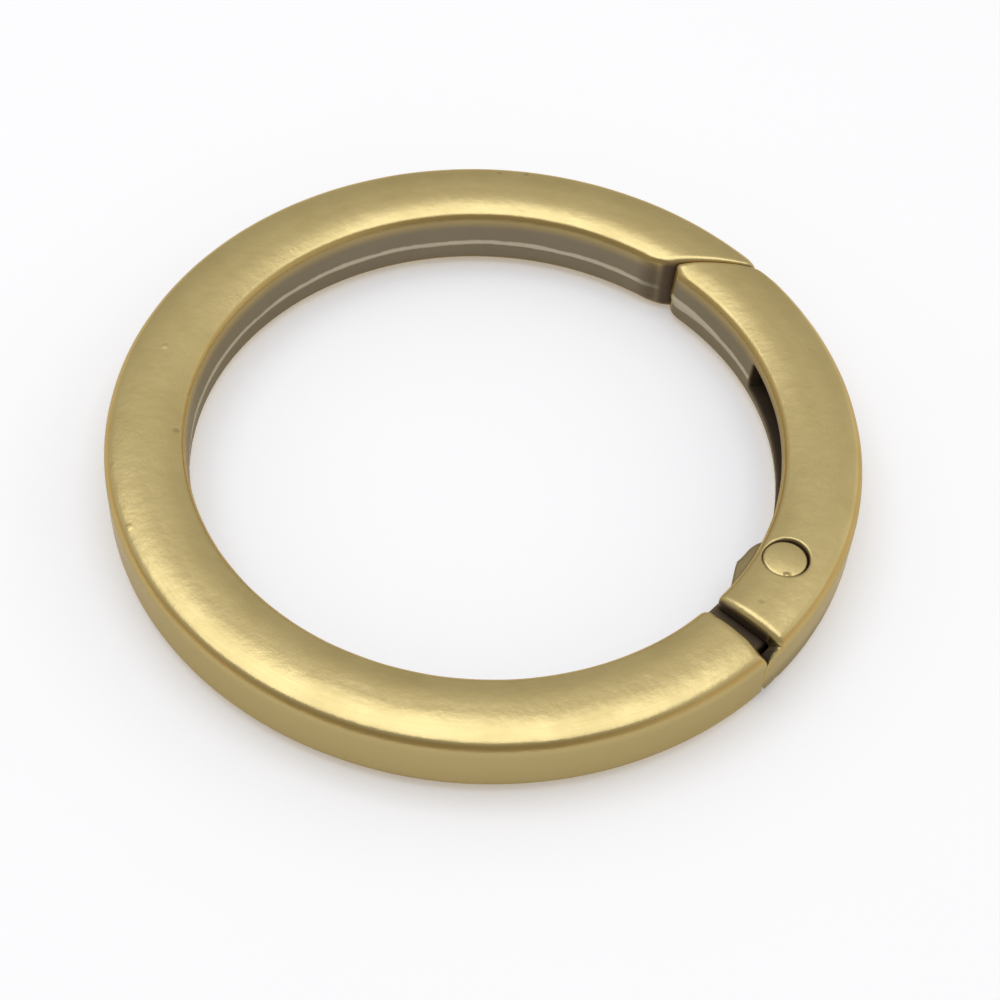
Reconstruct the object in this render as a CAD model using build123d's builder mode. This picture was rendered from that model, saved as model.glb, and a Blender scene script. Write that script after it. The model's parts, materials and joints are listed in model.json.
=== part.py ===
"""Spring gate ring: a round die-cast ring with a sprung gate that swings inward.

Four pieces: the ring body with its hinge tongue, the channelled gate, the hinge rivet
and the torsion spring round the rivet. Millimetres. The ring lies flat: +Z is its axis,
the origin is the middle of its underside, and the gate is on the +X side.
"""

import os
from math import cos, degrees, radians, sin, sqrt

from build123d import *

os.makedirs("parts", exist_ok=True)

# Band: a rounded bar with crowned faces, bent into a circle
inside_diameter = 38.0
band_width = 5.2
band_height = 4.9
land_width = 0.4  # flat strip left along the middle of each crowned face
crown_drop = 0.45
outer_edge_radius = 0.55
inner_edge_radius = 0.4

# Mouth: the slanted seam at the gate's tip, and the shoulder at its hinge end
seam_angle_inside = 54.4
seam_angle_outside = 40.2
seam_arch = 0.27  # rise of the seam in plan, away from the hinge
seam_gap = 0.10
seam_slant = 1.5  # how much longer the gap is along the band than across the seam
tip_radius = 0.5  # acute inner corner of the gate
brow_radius = 1.6  # obtuse outer corner of the gate
shoulder_angle = -43.3
shoulder_corner_radius = 0.9
shoulder_gap = 1.1
tail_gap = 0.16
tail_radius = 0.3

# Gate channel, open towards the middle of the ring
flange_thickness = 1.3
web_thickness = 1.0
channel_end_angle = 23.5

# Hinge
hinge_angle = -26.2
hinge_inset = 0.6  # from the middle of the band towards the inside
shank_diameter = 2.0
running_clearance = 0.04
head_diameter = 2.8
head_height = 0.72
head_dome = 0.12
head_recess = 0.05  # from the head's crest to the land
head_gap = 0.12
rivet_fit = 0.01
knuckle_reach = 2.65  # from the hinge axis towards the inside
knuckle_web_gap = 0.25
knuckle_root_radius = 2.0
tongue_side_gap = 0.10
gate_travel = 38.0
stop_angle = 52.0  # direction of the nose that ends the gate's travel
stop_spare = 0.8  # degrees from the end of the travel to metal on metal
stop_width = 0.8

# Torsion spring
wire_diameter = 0.45
spring_turns = 2
coil_gap = 0.06
pocket_gap = 0.08
groove_gap = 0.08
sleeve_skin = 0.02  # the coil's sleeve stands this much proud of the wire
long_leg_angle = 75.0
leg_web_gap = 0.05
anchor_leg_angle = -124.0
anchor_leg_length = 4.2

inner_radius = inside_diameter / 2
outer_radius = inner_radius + band_width
middle_radius = inner_radius + band_width / 2
hinge_radius = middle_radius - hinge_inset
web_radius = outer_radius - web_thickness
tongue_radius = web_radius - knuckle_web_gap
tongue_floor = flange_thickness + tongue_side_gap
tongue_top = band_height - flange_thickness - tongue_side_gap
bore_radius = shank_diameter / 2 + running_clearance
coil_radius = shank_diameter / 2 + coil_gap + wire_diameter / 2
pocket_floor = tongue_top - spring_turns * wire_diameter - pocket_gap
pocket_radius = coil_radius + wire_diameter / 2 + pocket_gap
margin = band_width  # how far a cutting outline runs past the band


def polar(radius, angle):
    """The point in plan at a distance from the ring's axis, in a direction."""
    return (radius * cos(radians(angle)), radius * sin(radians(angle)))


def away(start, distance, angle):
    """The point in plan at a distance from another, in a direction."""
    return (start[0] + distance * cos(radians(angle)), start[1] + distance * sin(radians(angle)))


def run_to_circle(start, angle, radius):
    """How far a line runs, from a point inside a circle round the ring's axis, to reach it."""
    forward = start[0] * cos(radians(angle)) + start[1] * sin(radians(angle))
    return sqrt(forward**2 + radius**2 - start[0] ** 2 - start[1] ** 2) - forward


hinge = polar(hinge_radius, hinge_angle)
stop_reach = run_to_circle(hinge, stop_angle - gate_travel - stop_spare, web_radius)
knuckle_outward = tongue_radius - hinge_radius
knuckle_radius = (knuckle_reach + knuckle_outward) / 2
seam_inside = polar(inner_radius, seam_angle_inside)
seam_outside = polar(outer_radius, seam_angle_outside)
gate_end_angle = shoulder_angle + degrees(shoulder_gap / middle_radius)
tail_angle = shoulder_angle + degrees(tail_gap / outer_radius)
tip_inside = polar(inner_radius, seam_angle_inside - degrees(seam_gap / inner_radius) * seam_slant)
tip_outside = polar(outer_radius, seam_angle_outside - degrees(seam_gap / outer_radius) * seam_slant)
tongue_root_angle = shoulder_angle - degrees(shoulder_gap / middle_radius)
tongue_sweep = hinge_angle - tongue_root_angle
channel_sweep = shoulder_angle - channel_end_angle
head_radius = head_diameter / 2
seat_depth = head_recess + head_dome + head_height
rivet_hole_radius = shank_diameter / 2 + rivet_fit

with BuildSketch(Plane.XZ) as band_section:
    with BuildLine():
        top_land = Line((0, band_height), (land_width / 2, band_height))
        top_crown = TangentArc(
            top_land @ 1, (band_width / 2, band_height - crown_drop), tangent=(1, 0)
        )
        side = Line(top_crown @ 1, (band_width / 2, crown_drop))
        foot_land = Line((0, 0), (land_width / 2, 0))
        TangentArc(foot_land @ 1, side @ 1, tangent=(1, 0))
        mirror(about=Plane.YZ)
    make_face()
    corners = band_section.vertices().group_by(Axis.X)
    fillet(corners[0], inner_edge_radius)
    fillet(corners[-1], outer_edge_radius)

# Outline of the mouth, run past the band on both sides of it
with BuildSketch() as mouth:
    with BuildLine():
        seam = SagittaArc(seam_outside, seam_inside, -seam_arch)
        seam_start = Line(away(seam_outside, margin, 0), seam @ 0)
        seam_end = Line(seam @ 1, away(seam_inside, margin, 180))
        shoulder = Line(
            polar(inner_radius - margin, shoulder_angle),
            polar(outer_radius + margin, shoulder_angle),
        )
        Line(seam_end @ 1, shoulder @ 0)
        Polyline(shoulder @ 1, (outer_radius + margin, 0), seam_start @ 0)
    make_face()

# Outline of the tongue, which ends in a knuckle round the hinge
with BuildSketch() as tongue:
    with BuildLine():
        outer_side = CenterArc((0, 0), tongue_radius, tongue_root_angle, tongue_sweep)
        inner_side = CenterArc((0, 0), inner_radius, tongue_root_angle, tongue_sweep)
        Line(outer_side @ 0, inner_side @ 0)
        Line(outer_side @ 1, inner_side @ 1)
    make_face()
    with Locations(polar(hinge_radius + knuckle_outward - knuckle_radius, hinge_angle)):
        Circle(knuckle_radius)
    crotch = tongue.vertices().sort_by_distance(away(hinge, knuckle_reach, hinge_angle - 90))[:2]
    fillet(crotch.sort_by_distance((0, 0))[0], knuckle_root_radius)

# The ring body: the band less the mouth, with the tongue and knuckle that carry the gate
with BuildPart() as ring_body:
    with BuildSketch(Plane.XZ):
        with Locations((middle_radius, 0)):
            add(band_section.sketch)
    revolve(axis=Axis.Z)
    extrude(mouth.sketch, amount=band_height, mode=Mode.SUBTRACT)
    upright = ring_body.edges().filter_by(Axis.Z)
    fillet(upright.sort_by_distance(polar(outer_radius, shoulder_angle))[0], shoulder_corner_radius)
    with BuildSketch(Plane.XY.offset(tongue_floor)):
        add(tongue.sketch)
    extrude(amount=tongue_top - tongue_floor)
    # the pocket for the coil is open towards the gate's channel, where the long leg swings
    with BuildSketch(Plane.XY.offset(pocket_floor)):
        with Locations(hinge):
            Circle(pocket_radius)
            Rectangle(
                2 * pocket_radius, 2 * margin, rotation=hinge_angle, align=(Align.CENTER, Align.MIN)
            )
        with Locations(away(hinge, coil_radius, anchor_leg_angle + 90)):
            Rectangle(
                anchor_leg_length + groove_gap,
                wire_diameter + 2 * groove_gap,
                rotation=anchor_leg_angle,
                align=(Align.MIN, Align.CENTER),
            )
    extrude(amount=tongue_top, mode=Mode.SUBTRACT)
    with BuildSketch(Plane.XY.offset(tongue_floor)):
        with Locations(hinge):
            Rectangle(stop_reach, stop_width, rotation=stop_angle, align=(Align.MIN, Align.MIN))
    extrude(amount=pocket_floor - tongue_floor)
    with Locations((*hinge, tongue_top)):
        Hole(bore_radius)

# Outline of the gate, with its rounded tip and the tail that closes the outer wall
with BuildSketch() as gate_outline:
    with BuildLine():
        tip = SagittaArc(tip_outside, tip_inside, -seam_arch)
        brow = ThreePointArc(tip @ 0, (outer_radius, 0), polar(outer_radius, tail_angle))
        tail = Line(brow @ 1, polar(web_radius, tail_angle))
        heel = Line(tail @ 1, polar(web_radius, gate_end_angle))
        flange_end = Line(heel @ 1, polar(inner_radius, gate_end_angle))
        ThreePointArc(flange_end @ 1, (inner_radius, 0), tip @ 1)
    make_face()
    fillet(gate_outline.vertices().sort_by_distance(tip_inside)[0], tip_radius)
    fillet(gate_outline.vertices().sort_by_distance(tip_outside)[0], brow_radius)
    fillet(gate_outline.vertices().sort_by_distance(brow @ 1)[0], tail_radius)

# The gate: the same band, channelled from the inside so that it fits over the tongue
with BuildPart() as gate:
    with BuildSketch(Plane.XZ):
        with Locations((middle_radius, 0)):
            add(band_section.sketch)
    revolve(axis=Axis.Z)
    extrude(gate_outline.sketch, amount=band_height, mode=Mode.INTERSECT)
    with BuildSketch(Plane.XY.offset(flange_thickness)):
        with BuildLine():
            floor_line = CenterArc((0, 0), web_radius, channel_end_angle, channel_sweep)
            Polyline(
                floor_line @ 0,
                polar(inner_radius - margin, channel_end_angle),
                polar(inner_radius - margin, channel_end_angle + channel_sweep),
                floor_line @ 1,
            )
        make_face()
    extrude(amount=band_height - 2 * flange_thickness, mode=Mode.SUBTRACT)
    with Locations((*hinge, band_height)):
        CounterBoreHole(rivet_hole_radius, head_radius + head_gap, seat_depth)
    with Locations(Plane((*hinge, 0), z_dir=(0, 0, -1))):
        CounterBoreHole(rivet_hole_radius, head_radius + head_gap, seat_depth)

# The hinge rivet: a shank between two slightly domed heads, sunk in the flanges
with BuildPart() as hinge_rivet:
    with BuildSketch(Plane(origin=(*hinge, 0), x_dir=(1, 0, 0), z_dir=(0, -1, 0))):
        with BuildLine():
            crest = (0, band_height - head_recess)
            rim = (head_radius, band_height - head_recess - head_dome)
            dome = TangentArc(crest, rim, tangent=(1, 0))
            Polyline(
                dome @ 1,
                (head_radius, band_height - seat_depth),
                (shank_diameter / 2, band_height - seat_depth),
                (shank_diameter / 2, band_height / 2),
                (0, band_height / 2),
                crest,
            )
        make_face()
    revolve(axis=Axis((*hinge, 0), (0, 0, 1)))
    mirror(about=Plane.XY.offset(band_height / 2))

# The torsion spring: a coil round the rivet, one leg in the tongue and one in the channel
coil_floor = pocket_floor + pocket_gap / 2
coil_top = coil_floor + spring_turns * wire_diameter
with BuildPart() as gate_spring:
    with BuildSketch(Plane.XY.offset(coil_floor - sleeve_skin)):
        with Locations(hinge):
            Circle(coil_radius + wire_diameter / 2 + sleeve_skin)
            Circle(coil_radius - wire_diameter / 2 - sleeve_skin, mode=Mode.SUBTRACT)
    extrude(amount=coil_top - coil_floor + 2 * sleeve_skin)
    anchor_start = away(hinge, coil_radius, anchor_leg_angle + 90)
    with BuildSketch(
        Plane(
            origin=(*anchor_start, coil_floor + wire_diameter / 2),
            z_dir=(*polar(1, anchor_leg_angle), 0),
        )
    ):
        Circle(wire_diameter / 2)
    extrude(amount=anchor_leg_length)
    long_start = away(hinge, coil_radius, long_leg_angle - 90)
    with BuildSketch(
        Plane(
            origin=(*long_start, coil_top - wire_diameter / 2),
            z_dir=(*polar(1, long_leg_angle), 0),
        )
    ):
        Circle(wire_diameter / 2)
    extrude(amount=run_to_circle(long_start, long_leg_angle, web_radius - leg_web_gap - wire_diameter / 2))

ring_body.part.label = "ring_body"
gate.part.label = "gate"
hinge_rivet.part.label = "hinge_rivet"
gate_spring.part.label = "gate_spring"
export_step(ring_body.part, "parts/ring_body.step")
export_step(gate.part, "parts/gate.step")
export_step(hinge_rivet.part, "parts/hinge_rivet.step")
export_step(gate_spring.part, "parts/gate_spring.step")
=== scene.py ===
"""Looks of a spring gate ring: a die-cast ring and gate in brushed antique brass.

The castings and the rivet are grown by Geometry Nodes from a formula for the distance
to their skin, so every corner gets the soft radius of a tumbled casting. Sizes inside
the trees are millimetres; the last node of each tree brings them to metres.
"""

import json
from math import cos, pi, radians, sin

import bpy
from mathutils import Matrix, Vector


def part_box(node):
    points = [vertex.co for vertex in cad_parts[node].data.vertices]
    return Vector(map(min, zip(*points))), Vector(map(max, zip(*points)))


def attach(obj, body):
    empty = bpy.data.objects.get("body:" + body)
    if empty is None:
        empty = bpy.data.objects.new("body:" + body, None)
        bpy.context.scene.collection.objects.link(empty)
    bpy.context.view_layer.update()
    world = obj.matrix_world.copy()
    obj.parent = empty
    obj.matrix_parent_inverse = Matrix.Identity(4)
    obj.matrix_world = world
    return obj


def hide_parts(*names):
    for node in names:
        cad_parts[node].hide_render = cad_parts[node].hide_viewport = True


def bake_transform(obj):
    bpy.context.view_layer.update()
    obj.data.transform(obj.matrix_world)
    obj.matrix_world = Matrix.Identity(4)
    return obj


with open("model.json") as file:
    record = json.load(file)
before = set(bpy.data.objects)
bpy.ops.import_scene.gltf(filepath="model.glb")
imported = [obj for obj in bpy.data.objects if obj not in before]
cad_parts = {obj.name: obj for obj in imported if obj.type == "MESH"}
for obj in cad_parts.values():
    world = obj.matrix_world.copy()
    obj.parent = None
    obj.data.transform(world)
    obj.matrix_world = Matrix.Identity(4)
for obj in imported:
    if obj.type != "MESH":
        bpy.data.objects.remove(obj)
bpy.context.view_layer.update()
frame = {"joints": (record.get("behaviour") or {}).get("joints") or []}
MM = 0.001

# ---------------------------------------------------------------- sizes, millimetres
BODY_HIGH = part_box("ring_body")[1] / MM
PIN_LOW, PIN_HIGH = (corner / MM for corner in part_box("hinge_rivet"))
JOINT = frame["joints"][0]
HINGE_X, HINGE_Y = JOINT["pos_m"][0] / MM, JOINT["pos_m"][1] / MM

OUTER = BODY_HIGH.y
HEIGHT = BODY_HIGH.z
MID_HEIGHT = HEIGHT / 2
BAND = dict(
    width=5.2, height=HEIGHT, middle=OUTER - 2.6, land=0.4, crown=6.625, inner_edge=0.4, outer_edge=0.6
)
SEAM = dict(x=15.357, y=-9.806, radius=25.61)
HEAD_RADIUS = (PIN_HIGH.x - PIN_LOW.x) / 2
PARTING_HEIGHT = 2.12

# directions round the ring's axis or the hinge, degrees
SHOULDER_ANGLE = -43.3
HINGE_ANGLE = -26.2
TONGUE_START_ANGLE = -47.0
FLANGE_END_ANGLE = -40.38
WEB_END_ANGLE = -43.2
STOP_ANGLE = 52
ANCHOR_LEG_START, ANCHOR_LEG_ANGLE = -34.0, -124.0
LONG_LEG_START, LONG_LEG_ANGLE = -15.0, 75.0

# the tongue, the knuckle, the spring's path and the gate's web, millimetres
TONGUE_MIDDLE, TONGUE_REACH = 20.975, 1.975
KNUCKLE_MIDDLE, KNUCKLE_RADIUS = 20.65, 2.25
COIL_RADIUS, COIL_FLOOR, COIL_RISE = 1.285, 2.785, 0.45
WEB_RADIUS = 23.2


# ---------------------------------------------------------------- node trees
class Value:
    """A socket of a node tree. Arithmetic on it adds Math nodes to the tree."""

    def __init__(self, graph, socket):
        self.graph, self.socket = graph, socket

    def math(self, operation, *values):
        return self.graph.add(
            "ShaderNodeMath", {"operation": operation}, dict(enumerate((self, *values)))
        )

    def __add__(self, other):
        return self.math("ADD", other)

    def __radd__(self, other):
        return self.math("ADD", other)

    def __sub__(self, other):
        return self.math("SUBTRACT", other)

    def __rsub__(self, other):
        return (self * -1.0).math("ADD", other)

    def __mul__(self, other):
        return self.math("MULTIPLY", other)

    def __rmul__(self, other):
        return self.math("MULTIPLY", other)

    def __truediv__(self, other):
        return self.math("DIVIDE", other)

    def __rtruediv__(self, other):
        return self.math("POWER", -1.0) * other

    def __neg__(self):
        return self.math("MULTIPLY", -1.0)

    def __abs__(self):
        return self.math("ABSOLUTE")

    def least(self, other):
        return self.math("MINIMUM", other)

    def most(self, other):
        return self.math("MAXIMUM", other)

    def root(self):
        return self.math("SQRT")

    def power(self, other):
        return self.math("POWER", other)

    def clamp(self):
        return self.graph.add("ShaderNodeClamp", {}, {"Value": self})

    def step(self, low, high):
        """0 below low and 1 above high, smooth between them."""
        return self.graph.add(
            "ShaderNodeMapRange",
            {"interpolation_type": "SMOOTHSTEP"},
            {"Value": self, "From Min": low, "From Max": high},
        )


class Graph:
    """A node tree that is being built."""

    def __init__(self, tree):
        self.tree = tree

    def add(self, kind, settings=None, sockets=None, out=0):
        """Adds a node: its settings first, then its sockets; gives back one output."""
        node = self.tree.nodes.new(kind)
        for name, value in (settings or {}).items():
            setattr(node, name, value)
        for name, value in (sockets or {}).items():
            self.join(value, node.inputs[name])
        return self.output(node, out)

    def output(self, node, out=0):
        if isinstance(out, (list, tuple)):
            return [Value(self, node.outputs[name]) for name in out]
        return Value(self, node.outputs[out])

    def join(self, value, socket):
        if isinstance(value, Value):
            self.tree.links.new(value.socket, socket)
        else:
            socket.default_value = value


def round_cut(a, b, radius):
    """Distance to what two shapes share, with the edge between them rounded."""
    over = (a + radius).most(0.0)
    under = (b + radius).most(0.0)
    corner = (over * over + under * under).root()
    return (a.most(b)).least(-radius) + corner


def round_join(a, b, radius):
    """Distance to two shapes together, with a fillet in the crotch between them."""
    return -round_cut(-a, -b, radius)


class Sizes:
    """The named inputs of a tree, as attributes."""

    def __init__(self, graph, node, names):
        for name in names:
            setattr(self, name, Value(graph, node.outputs[name]))


def new_tree(name, sizes, place=False):
    """An empty Geometry Nodes tree with a named input for each size."""
    tree = bpy.data.node_groups.new(name, "GeometryNodeTree")
    if place:
        tree.interface.new_socket("place", in_out="INPUT", socket_type="NodeSocketVector")
    for key, value in sizes.items():
        socket = tree.interface.new_socket(key, in_out="INPUT", socket_type="NodeSocketFloat")
        socket.default_value = value
    graph = Graph(tree)
    entry = tree.nodes.new("NodeGroupInput")
    given = Sizes(graph, entry, (["place"] if place else []) + list(sizes))
    return graph, given


def close_tree(graph, kind, **results):
    """Gives a tree its outputs."""
    for name in results:
        graph.tree.interface.new_socket(name, in_out="OUTPUT", socket_type=kind)
    exit_node = graph.tree.nodes.new("NodeGroupOutput")
    for name, result in results.items():
        graph.join(result, exit_node.inputs[name])
    return graph.tree


def shape(name, sizes, formula):
    """A group that gives, for a place, the distance to a piece's skin and its share of painted shade and
    patina.
    """
    graph, given = new_tree(name, sizes, place=True)
    x, y, z = graph.add("ShaderNodeSeparateXYZ", {}, {0: given.place}, out=("X", "Y", "Z"))
    distance, grime = formula(graph, given, x, y, z)
    return close_tree(graph, "NodeSocketFloat", distance=distance, grime=grime)


def grow(name, group, sizes, low, high, voxel, material):
    """Turns a distance group into a closed mesh of fine, even faces, and keeps it."""
    graph, given = new_tree(name, {**sizes, "voxel": voxel})
    inputs = {key: getattr(given, key) for key in sizes}

    def distance(place, out="distance"):
        return graph.add("GeometryNodeGroup", {"node_tree": group}, {"place": place, **inputs}, out)

    def vector(operation, a, b, out=0):
        name = "Scale" if operation == "SCALE" else 1
        return graph.add("ShaderNodeVectorMath", {"operation": operation}, {0: a, name: b}, out)

    def slope(place):
        """The way out of the piece, and the distance, from four places round one place."""
        reach = 0.02
        total, sum_of = None, None
        for corner in ((1, -1, -1), (-1, -1, 1), (-1, 1, -1), (1, 1, 1)):
            here = distance(vector("ADD", place, [reach * c for c in corner]))
            part = vector("SCALE", corner, here)
            total = part if total is None else vector("ADD", total, part)
            sum_of = here if sum_of is None else sum_of + here
        return vector("SCALE", total, 0.25 / reach), sum_of * 0.25

    here = graph.add("GeometryNodeInputPosition")
    counts = {
        f"Resolution {axis}": graph.add(
            "FunctionNodeFloatToInt", {}, {0: (high[i] - low[i]) / given.voxel + 1.0}
        )
        for i, axis in enumerate("XYZ")
    }
    cube = graph.add(
        "GeometryNodeVolumeCube",
        {},
        {"Density": -distance(here), "Background": -1.0, "Min": low, "Max": high, **counts},
    )
    skin = graph.add("GeometryNodeVolumeToMesh", {}, {"Volume": cube, "Threshold": 0.0})
    for _ in range(3):
        way, depth = slope(here)
        square = vector("DOT_PRODUCT", way, way, out="Value")
        move = vector("SCALE", way, -depth / square.most(0.2))
        skin = graph.add("GeometryNodeSetPosition", {}, {"Geometry": skin, "Offset": move})
    way, _ = slope(here)
    out = vector("NORMALIZE", way, (0, 0, 0))
    inward = vector("NORMALIZE", vector("MULTIPLY", here, (-1, -1, 0)), (0, 0, 0))
    outside, inside = 0.55, 0.4
    levels = {
        "recess": distance(vector("ADD", here, vector("SCALE", out, outside))) / outside,
        "edge": distance(vector("ADD", here, vector("SCALE", out, -inside))) / -inside,
        "grime": distance(here, "grime"),
        "inward": vector("DOT_PRODUCT", out, inward, out="Value"),
    }
    for label, level in levels.items():
        skin = graph.add(
            "GeometryNodeStoreNamedAttribute",
            {"data_type": "FLOAT", "domain": "POINT"},
            {"Geometry": skin, "Name": label, "Value": level},
        )
    return keep(name, finish_tree(graph, skin, material), {**sizes, "voxel": voxel})


def finish_tree(graph, mesh, material):
    """Smooths the faces, brings millimetres to metres and gives the faces their finish."""
    smooth = graph.add("GeometryNodeSetShadeSmooth", {}, {"Geometry": mesh})
    metres = graph.add("GeometryNodeTransform", {}, {"Geometry": smooth, "Scale": (MM, MM, MM)})
    real = graph.add("GeometryNodeRealizeInstances", {}, {"Geometry": metres})
    done = graph.add("GeometryNodeSetMaterial", {}, {"Geometry": real, "Material": material})
    return close_tree(graph, "NodeSocketGeometry", Geometry=done)


def keep(name, tree, sizes):
    """Runs a tree once with its sizes and keeps the result as a plain mesh."""
    maker = bpy.data.objects.new(name + "_maker", bpy.data.meshes.new(name + "_seed"))
    bpy.context.scene.collection.objects.link(maker)
    modifier = maker.modifiers.new("grow", "NODES")
    modifier.node_group = tree
    for item in tree.interface.items_tree:
        if item.in_out == "INPUT" and item.name in sizes:
            modifier[item.identifier] = sizes[item.name]
    grown = maker.evaluated_get(bpy.context.evaluated_depsgraph_get())
    mesh = bpy.data.meshes.new_from_object(grown)
    mesh.name = name
    bpy.data.objects.remove(maker)
    piece = bpy.data.objects.new(name, mesh)
    bpy.context.scene.collection.objects.link(piece)
    return piece


# ---------------------------------------------------------------- distance formulas
def ahead(x, y, angle):
    """How far a place is past a line from the ring's axis, anticlockwise."""
    return y * cos(radians(angle)) - x * sin(radians(angle))


def band(size, radius, z, end, corner, end_edge):
    """The rounded bar: flat sides and crowned faces, and an end with its own edges."""
    edge = size.inner_edge + (size.outer_edge - size.inner_edge) * (radius - size.middle).step(-0.5, 0.5)
    across = abs(radius - size.middle)
    rise = abs(z - size.height / 2)
    wall = across - size.width / 2
    edge = edge + (end_edge - edge) * (end - wall).step(-0.5, 0.5)
    side = round_cut(wall, end, corner)
    beyond = (across - size.land / 2).most(0.0)
    climb = rise + size.crown - size.height / 2
    crown = (beyond * beyond + climb * climb).root() - size.crown
    return round_cut(side, crown, edge)


def far(x, y, at_x, at_y):
    dx, dy = x - at_x, y - at_y
    return (dx * dx + dy * dy).root()


def body_formula(graph, size, x, y, z):
    """The C-shaped casting with its tongue, knuckle, spring pocket and stop nose."""
    radius = (x * x + y * y).root()
    rise = abs(z - size.height / 2)
    wall = parted_wall(graph, size, z, radius)
    from_hinge = far(x, y, size.hinge_x, size.hinge_y)
    seam = size.seam_radius - far(x, y, size.seam_x, size.seam_y)
    shoulder = ahead(x, y, SHOULDER_ANGLE)
    upper = y.step(-1.0, 1.0)
    outside = (radius - 22.4).step(0.0, 1.5)
    seam_corner = 0.25 + 0.6 * (1.0 - (radius - 19.0).step(0.0, 1.6))
    seam_corner = seam_corner + 0.75 * (radius - 22.0).step(0.0, 1.5)
    shoulder_corner = 0.5 - 0.46 * outside
    corner = shoulder_corner + (seam_corner - shoulder_corner) * upper
    seam_edge = 0.45 - 0.22 * (radius - 19.0).step(0.0, 4.0)
    shoulder_edge = 0.5 + 0.3 * outside
    end_edge = shoulder_edge + (seam_edge - shoulder_edge) * upper
    casting = band(size, wall, z, seam.least(shoulder), corner, end_edge)

    hinge_cos, hinge_sin = cos(radians(HINGE_ANGLE)), sin(radians(HINGE_ANGLE))
    to_hinge = ahead(x, y, HINGE_ANGLE)
    length = (ahead(x, y, TONGUE_START_ANGLE) * -1.0).most(to_hinge)
    strip = abs(radius - TONGUE_MIDDLE) - TONGUE_REACH
    arm = round_cut(length, strip, 0.1)
    knuckle = far(x, y, KNUCKLE_MIDDLE * hinge_cos, KNUCKLE_MIDDLE * hinge_sin) - KNUCKLE_RADIUS
    root = arm.most(to_hinge + 1.5)
    plan = round_join(root, knuckle, 1.8).least(arm)
    tongue = round_cut(plan, rise - size.tongue_half, 0.2)
    whole = round_join(casting, tongue, 0.3)

    bore = size.bore - from_hinge
    whole = round_cut(whole, bore, 0.08)
    off_x, off_y = x - size.hinge_x, y - size.hinge_y
    open_side = (size.pocket - from_hinge).most(-ahead(off_x, off_y, HINGE_ANGLE))
    across = abs(off_x * hinge_cos + off_y * hinge_sin)
    open_side = open_side.most(across - size.pocket)
    groove_u, groove_v = leg_place(size, x, y, ANCHOR_LEG_START, ANCHOR_LEG_ANGLE)
    groove = (abs(groove_v) - 0.305).most(abs(groove_u - 2.1) - 2.18)
    pocket = ((size.pocket - from_hinge) * -1.0).least(open_side).least(groove)
    pocket = round_cut(pocket, size.pocket_floor - z, 0.05)
    whole = round_cut(whole, -pocket, 0.08)

    stop_cos, stop_sin = cos(radians(STOP_ANGLE)), sin(radians(STOP_ANGLE))
    nose_u = off_x * stop_cos + off_y * stop_sin
    nose_v = off_y * stop_cos - off_x * stop_sin
    nose = round_cut(abs(nose_v - 0.4) - 0.4, abs(nose_u - 1.95) - 0.78, 0.12)
    nose = round_cut(nose, abs(z - 1.96) - 0.56, 0.1)
    whole = whole.least(nose)

    # painted shade with patina brown: deeper down the seam and shoulder gaps and on the tongue in the
    # slot under the gate; a painted shadow on the inner wall beside the seam
    gate_side = (x - 6.0).step(0.0, 3.0)
    ends = 1.0 - (abs(seam).least(abs(shoulder))).step(0.04, 0.3)
    deep = ends * (1.0 - (rise - 1.75).step(0.0, 0.6))
    deep = deep * (1.0 - (1.0 - upper) * (radius - 23.6).step(0.0, 0.4))
    under = (1.0 - tongue.step(0.0, 0.15)) * (0.6 + 0.4 * (radius - 19.0).step(-0.2, 0.3))
    shade = 0.75 * (1.0 - abs(seam).step(0.1, 1.3)) * (1.0 - (radius - 19.15).step(0.0, 0.3))
    shade = shade * (1.0 - (rise - 1.5).step(0.0, 0.5))
    return whole, deep.most(under).most(shade) * gate_side


def leg_place(size, x, y, start, angle):
    """Places along and across a spring leg that leaves the coil at an angle."""
    dx = x - (size.hinge_x + COIL_RADIUS * cos(radians(start)))
    dy = y - (size.hinge_y + COIL_RADIUS * sin(radians(start)))
    c, s = cos(radians(angle)), sin(radians(angle))
    return dx * c + dy * s, dy * c - dx * s


def parted_wall(graph, size, z, radius):
    """The radius that the bar sees: the die's draft, parting line and slow waviness."""
    inner = 1.0 - (radius - 19.6).step(0.0, 1.2)
    wave = graph.add(
        "ShaderNodeTexNoise",
        {"noise_dimensions": "3D"},
        {"Vector": size.place, "Scale": 0.32, "Detail": 1.0, "Roughness": 0.4},
    )
    line = PARTING_HEIGHT + (wave - 0.5) * 0.35
    draft = abs(z - line)
    slack = (draft - 0.1).most(0.0) * 0.042
    ridge = 0.05 * (1.0 - draft.step(0.0, 0.26))
    return radius + inner * (ridge - slack) + (wave - 0.5) * 0.03


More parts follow.
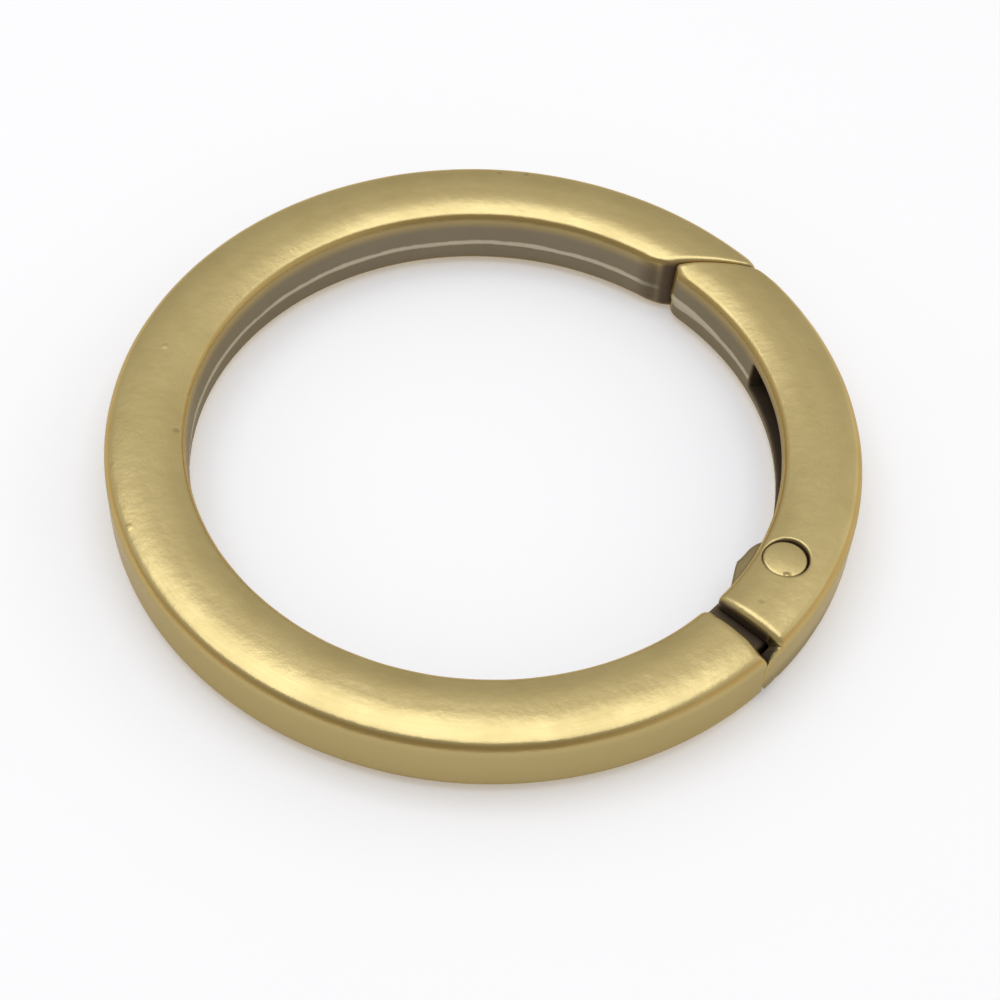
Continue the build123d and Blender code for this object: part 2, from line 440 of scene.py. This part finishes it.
def gate_formula(graph, size, x, y, z):
    """The gate: a length of the same bar, channelled from inside, with its rivet seats."""
    radius = (x * x + y * y).root()
    rise = abs(z - size.height / 2)
    wall = parted_wall(graph, size, z, radius)
    from_hinge = far(x, y, size.hinge_x, size.hinge_y)
    tip = far(x, y, size.seam_x, size.seam_y) - size.seam_radius + size.seam_gap
    flange = ahead(x, y, FLANGE_END_ANGLE) * -1.0
    slope = (rise - 2.0 + (24.15 - radius) * 1.2) * 0.64
    closing = ahead(x, y, WEB_END_ANGLE) * -1.0
    tail = round_cut(closing, slope, 0.8).most(WEB_RADIUS - radius)
    cut = flange.least(tail)
    inward = 1.0 - (radius - 19.3).step(0.0, 1.5)
    outward = (radius - 22.6).step(0.0, 1.4)
    corner = 0.15 + 1.35 * inward + 0.85 * outward
    bar = band(size, wall, z, tip, corner, 0.2 + 0.15 * inward)
    end_soft = 0.5 - 0.45 * (flange - 0.35).step(-0.3, 0.3)
    solid = round_cut(bar, cut, end_soft)

    roof = round_cut(rise - size.channel_half, radius - size.web, 0.25)
    blind_end = y * size.channel_end.math("COSINE") - x * size.channel_end.math("SINE")
    channel = round_cut(roof, blind_end, 0.2)
    solid = round_cut(solid, -channel, 0.12)
    seat = (from_hinge - size.seat).most(size.height / 2 - size.seat_depth - rise)
    solid = round_cut(solid, -seat, 0.11)
    solid = round_cut(solid, size.rivet_hole - from_hinge, 0.05)

    # painted shade with patina brown: deeper down the ends in the gaps, in the channel, on the chamfered
    # tail, low on the outer wall beside the hinge and in the rivet's seat
    blunt = abs(flange) + (radius - 22.9).most(0.0)
    ends = 1.0 - abs(tip).least(abs(closing)).least(blunt).step(0.04, 0.3)
    deep = ends * (1.0 - (rise - 1.75).step(0.0, 0.6))
    deep = deep * (1.0 - (1.0 - y.step(-1.0, 1.0)) * (radius - 23.6).step(0.0, 0.4))
    inside = 1.0 - channel.step(0.02, 0.2)
    scoop = (1.0 - abs(tail).step(0.04, 0.22)) * (flange - 0.05).step(0.0, 0.3)
    scoop = scoop * (1.0 - (radius - 23.95).step(0.0, 0.25))
    foot = (1.0 - (z - 1.9).step(-0.7, 0.7)) * (radius - 23.5).step(0.0, 0.5)
    foot = foot * (1.0 - (y + 13.5).step(0.0, 6.0)) * 0.45
    inside = inside.most(foot).most(scoop)
    return solid, deep.most(inside).most((1.0 - seat.step(0.0, 0.12)) * 0.8)


def rivet_formula(graph, size, x, y, z):
    """The rivet: a shank between two low domed heads, each with a small raised burr."""
    from_axis = far(x, y, size.hinge_x, size.hinge_y)
    rise = abs(z - size.middle)
    shank = (from_axis - size.shank).most(rise - 2.2)
    dome_radius, burr_radius = 8.0, 0.2
    off = far(x, y, size.hinge_x - 0.045, size.hinge_y - 0.05)
    dome = (off * off + (rise + dome_radius - size.crest).power(2.0)).root() - dome_radius
    head = round_cut(dome, size.head_floor - rise, 0.05)
    head = round_cut(head, off - size.head, 0.15)
    burr = far(x, y, size.hinge_x - 0.02, size.hinge_y - 1.33)
    burr = (burr * burr + (rise - 2.2).power(2.0)).root() - burr_radius
    head = round_join(head, burr, 0.12)
    # the second value is painted shade on the head's rim, where it sits in its seat
    return head.least(shank), (off - size.head + 0.06).step(0.0, 0.1) * 0.6


# ---------------------------------------------------------------- finishes
def material(name):
    """A new material and the graph of its nodes, with a Principled shader in place."""
    made = bpy.data.materials.new(name)
    made.use_nodes = True
    graph = Graph(made.node_tree)
    shader = next(n for n in made.node_tree.nodes if n.type == "BSDF_PRINCIPLED")
    return made, graph, shader


def blend_colours(graph, share, first, second):
    """A colour that goes from the first at a share of 0 to the second at 1."""
    first, second = (c if isinstance(c, Value) else (*c, 1.0) for c in (first, second))
    return graph.add(
        "ShaderNodeMix", {"data_type": "RGBA", "blend_type": "MIX"}, {0: share, 6: first, 7: second}, 2
    )


def noise(graph, place, scale, detail=3.0, roughness=0.55):
    sockets = {"Vector": place, "Scale": scale, "Detail": detail, "Roughness": roughness}
    return graph.add("ShaderNodeTexNoise", {}, sockets)


def attribute(graph, name):
    return graph.add("ShaderNodeAttribute", {"attribute_name": name}, {}, out="Fac")


def antique_brass(name, tone=1.0, dull=0.0):
    """Brushed antique brass over a zinc casting: worn bright on top, brown in recesses, with painted
    shade in the gaps and on the outer wall and a painted dark reflection along the fillets.
    """
    made, graph, shader = material(name)
    place = graph.add("ShaderNodeTexCoord", out="Object")
    recess = attribute(graph, "recess")
    edge = attribute(graph, "edge")
    x, y, z = graph.add("ShaderNodeSeparateXYZ", {}, {0: place}, out=("X", "Y", "Z"))
    radius = (x * x + y * y).root()

    # fine brushing that runs round the ring: noise stretched along the band
    angle = graph.add("ShaderNodeMath", {"operation": "ARCTAN2"}, {0: y, 1: x})
    wrapped = graph.add(
        "ShaderNodeCombineXYZ", {}, {"X": radius * 9000.0, "Y": angle * 9.0, "Z": z * 9000.0}
    )
    brushing = noise(graph, wrapped, 1.0, 3.0, 0.6)
    cloud = noise(graph, place, 260.0, 3.0, 0.5)
    grain = noise(graph, place, 5200.0, 2.0, 0.6)
    shade = noise(graph, place, 900.0, 4.0, 0.6)

    warm = tuple(tone * c for c in (0.74, 0.585, 0.262))
    deep = tuple(tone * c for c in (0.63, 0.49, 0.208))

    # the broad faces, the fillets with their painted dark reflection, and the outer wall toned down as
    # painted shade
    patches = cloud.step(0.35, 0.7) * 0.7 + (shade - 0.5) * 0.9
    base = blend_colours(graph, patches.clamp(), warm, deep)
    base = blend_colours(graph, (brushing - 0.5) * 0.5 + 0.25, base, (0.52, 0.40, 0.17))
    wall = attribute(graph, "inward")
    tilt = abs(wall)
    # painted dark reflection along the fillets between the top and the walls, with some patina brown
    fillet_dark_reflection = tilt.step(0.50, 0.72) * (1.0 - tilt.step(0.88, 0.985))
    base = blend_colours(graph, fillet_dark_reflection * 0.75, base, (0.50, 0.32, 0.095))
    # the outer wall darker as painted shade for the dimmer surroundings it reflects, and also a less
    # brushed finish
    outer = (wall * -1.0).step(0.80, 0.97)
    base = blend_colours(graph, outer, base, (0.455, 0.36, 0.16))

    # the matt inner wall with its pale parting line, wider near the gate's tip
    inner = wall.step(0.78, 0.97)
    height = z * 1000.0
    near_tip = (x * 1000.0 - 11.6).step(0.0, 0.8) * (y * 1000.0 - 7.5).step(0.0, 8.5)
    away = abs(height - PARTING_HEIGHT - (cloud - 0.5) * 0.3) - (shade - 0.5) * 0.2
    away = away - near_tip * near_tip * 0.32
    parting = 1.0 - away.step(0.09, 0.26)
    plain = blend_colours(graph, height.step(3.3, 4.3), (0.225, 0.186, 0.123), (0.40, 0.30, 0.13))
    plain = blend_colours(graph, parting * 0.8, plain, (0.56, 0.50, 0.37))
    base = blend_colours(graph, inner, base, plain)

    # brown in the recesses
    hidden = (1.0 - recess.step(0.10, 0.85)) * (0.55 + 0.45 * shade)
    base = blend_colours(graph, hidden.clamp(), base, (0.10, 0.062, 0.028))
    # painted shade in the gaps, slots and seats, with patina brown
    grime = attribute(graph, "grime")
    base = blend_colours(graph, grime.clamp(), base, (0.100, 0.069, 0.041))
    worn = (1.0 - edge.step(0.45, 0.98)) * 0.35

    # casting pits and small raised grains, scattered thinly
    cells = graph.add(
        "ShaderNodeTexVoronoi", {"feature": "F1"}, {"Vector": place, "Scale": 520.0},
        out=("Distance", "Color"),
    )
    pick, raised = graph.add("ShaderNodeSeparateColor", {}, {0: cells[1]}, out=("Red", "Green"))
    spots = (1.0 - cells[0].step(0.04, 0.17)) * pick.step(0.80, 0.86)
    raised = raised.step(0.3, 0.5)
    base = blend_colours(graph, (spots * (1.0 - raised) * 0.4).clamp(), base, (0.16, 0.10, 0.05))
    graph.join(base, shader.inputs["Base Color"])

    rough = 0.305 + dull + 0.09 * (brushing - 0.5) + 0.14 * (cloud - 0.5) + 0.30 * hidden
    rough = rough + 0.12 * inner + 0.25 * grime
    graph.join((rough - 0.05 * worn).clamp(), shader.inputs["Roughness"])
    graph.join((1.0 - 0.35 * hidden - 0.5 * grime).clamp(), shader.inputs["Metallic"])

    shader.inputs["Specular Tint"].default_value = (0.85, 0.79, 0.66, 1.0)
    relief = brushing * 0.03 + grain * 0.05 + shade * 1.5 + spots * (raised * 2.4 - 1.2)
    bump = graph.add("ShaderNodeBump", {}, {"Strength": 0.22, "Distance": 0.0001, "Height": relief})
    graph.join(bump, shader.inputs["Normal"])
    return made


def spring_steel():
    """Drawn spring wire: grey steel with fine marks along it and a little oil brown."""
    made, graph, shader = material("spring_wire_steel")
    place = graph.add("ShaderNodeTexCoord", out="Object")
    cloud = noise(graph, place, 900.0, 3.0)
    fine = noise(graph, place, 9000.0, 2.0)
    base = blend_colours(graph, cloud.step(0.4, 0.7), (0.36, 0.35, 0.33), (0.22, 0.19, 0.15))
    graph.join(base, shader.inputs["Base Color"])
    graph.join((0.30 + 0.18 * fine).clamp(), shader.inputs["Roughness"])
    shader.inputs["Metallic"].default_value = 1.0
    bump = graph.add("ShaderNodeBump", {}, {"Strength": 0.2, "Distance": 0.00002, "Height": fine})
    graph.join(bump, shader.inputs["Normal"])
    return made


# ---------------------------------------------------------------- pieces
HINGE_SIZES = dict(hinge_x=HINGE_X, hinge_y=HINGE_Y)
SEAM_SIZES = dict(seam_x=SEAM["x"], seam_y=SEAM["y"], seam_radius=SEAM["radius"])


def cast_ring(finish):
    sizes = dict(
        **BAND, **HINGE_SIZES, **SEAM_SIZES,
        tongue_half=1.05, bore=1.04, pocket=1.59, pocket_floor=2.52,
    )
    group = shape("ring_body_skin", sizes, body_formula)
    piece = grow(
        "cast_ring_body", group, sizes, (-24.8, -24.8, -0.5), (24.8, 24.8, 5.4), 0.165, finish
    )
    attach(piece, "ring")
    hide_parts("ring_body")
    return piece


def cast_gate(finish):
    sizes = dict(
        **BAND, **HINGE_SIZES, **SEAM_SIZES,
        seam_gap=0.10, channel_half=1.15, web=WEB_RADIUS, channel_end=radians(23.5),
        seat=1.44, seat_depth=0.89, rivet_hole=1.01,
    )
    group = shape("gate_skin", sizes, gate_formula)
    piece = grow("cast_gate", group, sizes, (10.5, -17.5, -0.5), (24.8, 16.5, 5.4), 0.115, finish)
    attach(piece, "gate_arm")
    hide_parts("gate")
    return piece


def pivot_rivet(finish):
    sizes = dict(
        **HINGE_SIZES, middle=MID_HEIGHT, shank=1.0, head=HEAD_RADIUS,
        head_floor=1.57, crest=PIN_HIGH.z - MID_HEIGHT - 0.02,
    )
    group = shape("rivet_skin", sizes, rivet_formula)
    low = (HINGE_X - 1.6, HINGE_Y - 1.6, -0.2)
    high = (HINGE_X + 1.6, HINGE_Y + 1.6, 5.1)
    piece = grow("pivot_rivet", group, sizes, low, high, 0.055, finish)
    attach(piece, "gate_arm")
    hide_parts("hinge_rivet")
    return piece


def torsion_spring(finish):
    """Wire swept along one path: anchor leg, a rising turn round the rivet, long leg."""
    sizes = dict(
        **HINGE_SIZES, coil=COIL_RADIUS, wire=0.43, floor=COIL_FLOOR, rise=COIL_RISE,
        anchor_leg=4.2, long_leg=11.0,
    )
    graph, given = new_tree("torsion_spring", sizes)
    turn_start, turn_end = radians(ANCHOR_LEG_START), radians(LONG_LEG_START) + 2 * pi
    anchor_way, long_way = radians(ANCHOR_LEG_ANGLE), radians(LONG_LEG_ANGLE)
    count, section_points = 220, 14
    line = graph.add(
        "GeometryNodeCurvePrimitiveLine", {"mode": "POINTS"}, {"Start": (0, 0, 0), "End": (1, 0, 0)}
    )
    path = graph.add("GeometryNodeResampleCurve", {}, {"Curve": line, "Count": count})
    share = graph.add("GeometryNodeSplineParameter", out="Factor")
    lead, tail = 0.22, 0.62  # shares of the path where the coil starts and ends
    turn = ((share - lead) / (tail - lead)).most(0.0).least(1.0)
    angle = turn * (turn_end - turn_start) + turn_start
    ax = angle.math("COSINE") * given.coil + given.hinge_x
    ay = angle.math("SINE") * given.coil + given.hinge_y
    before = (lead - share).most(0.0) / lead * given.anchor_leg
    after = (share - tail).most(0.0) / (1.0 - tail) * given.long_leg
    px = ax + before * cos(anchor_way) + after * cos(long_way)
    py = ay + before * sin(anchor_way) + after * sin(long_way)
    pz = given.floor + turn * given.rise
    place = graph.add("ShaderNodeCombineXYZ", {}, {"X": px, "Y": py, "Z": pz})
    path = graph.add("GeometryNodeSetPosition", {}, {"Geometry": path, "Position": place})
    section = graph.add(
        "GeometryNodeCurvePrimitiveCircle", {"mode": "RADIUS"},
        {"Resolution": section_points, "Radius": given.wire * 0.5},
    )
    wire = graph.add(
        "GeometryNodeCurveToMesh", {}, {"Curve": path, "Profile Curve": section, "Fill Caps": True}
    )
    piece = keep("torsion_spring", finish_tree(graph, wire, finish), sizes)
    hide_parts("gate_spring")
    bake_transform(piece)
    return piece


# ---------------------------------------------------------------- studio
def floor():
    """A wide sheet of pale paper under the ring."""
    mesh = bpy.data.meshes.new("studio_floor")
    half = 3.0
    mesh.from_pydata(
        [(-half, -half, 0), (half, -half, 0), (half, half, 0), (-half, half, 0)], [], [(0, 1, 2, 3)]
    )
    piece = bpy.data.objects.new("studio_floor", mesh)
    bpy.context.scene.collection.objects.link(piece)
    made, graph, shader = material("studio_paper")
    place = graph.add("ShaderNodeTexCoord", out="Object")
    tint = noise(graph, place, 30.0)
    base = blend_colours(graph, tint, (0.945, 0.92, 0.89), (0.965, 0.94, 0.91))
    graph.join(base, shader.inputs["Base Color"])
    shader.inputs["Roughness"].default_value = 0.9
    shader.inputs["Emission Color"].default_value = (1.0, 1.0, 1.0, 1.0)
    shader.inputs["Emission Strength"].default_value = 0.20
    mesh.materials.append(made)
    return piece


def soft_light(name, at, size, power, turn, colour):
    """A rectangular soft box that faces straight down, turned in plan by some degrees."""
    data = bpy.data.lights.new(name, "AREA")
    data.shape, data.size, data.size_y = "RECTANGLE", size[0], size[1]
    data.energy, data.color = power, colour
    lamp = bpy.data.objects.new(name, data)
    lamp.location = at
    lamp.rotation_euler = (0.0, 0.0, radians(turn))
    bpy.context.scene.collection.objects.link(lamp)
    return lamp


def surroundings():
    """A soft box overhead, a paler wall behind and a dimmer room in front."""
    world = bpy.data.worlds.new("studio_room")
    bpy.context.scene.world = world
    world.use_nodes = True
    graph = Graph(world.node_tree)
    back = next(n for n in world.node_tree.nodes if n.type == "BACKGROUND")
    way = graph.add("ShaderNodeTexCoord", out="Generated")
    x, y, z = graph.add("ShaderNodeSeparateXYZ", {}, {0: way}, out=("X", "Y", "Z"))
    behind = y.step(-0.2, 0.5)
    high = z.step(0.45, 0.85)
    aside = abs(x).step(0.55, 0.95)
    right = x.step(0.33, 0.78)
    level = 0.36 + behind * 0.14 + behind * high * 0.14 + aside * 0.18 + right * 0.22
    back.inputs["Color"].default_value = (1.0, 1.0, 1.0, 1.0)
    graph.join(level, back.inputs["Strength"])
    soft_light(
        "overhead_softbox", at=(-0.09, 0.04, 0.60), size=(0.84, 0.47), power=1.70, turn=-12.0,
        colour=(0.93, 0.985, 1.12),
    )


def camera():
    """A camera that looks down on the ring from in front, a little turned and rolled."""
    data = bpy.data.cameras.new("camera")
    data.lens, data.sensor_width = 79.07, 36.0
    data.clip_start, data.clip_end = 0.005, 20.0
    made = bpy.data.objects.new("camera", data)
    right = Vector((0.99827, 0.04043, 0.04266))
    down = Vector((0.05818, -0.78284, -0.61950))
    forward = right.cross(down)
    turn = Matrix((right, -down, -forward)).transposed()
    made.matrix_world = Matrix.Translation((0.0, -0.090747, 0.111685)) @ turn.to_4x4()
    bpy.context.scene.collection.objects.link(made)
    bpy.context.scene.camera = made


# ---------------------------------------------------------------- assembly
camera()
surroundings()
floor()
brass = antique_brass("cast_antique_brass")
rivet_brass = antique_brass("rivet_antique_brass", tone=0.98, dull=0.02)
wire_finish = spring_steel()
cast_ring(brass)
cast_gate(brass)
pivot_rivet(rivet_brass)
torsion_spring(wire_finish)
bpy.context.scene.view_settings.view_transform = "Standard"
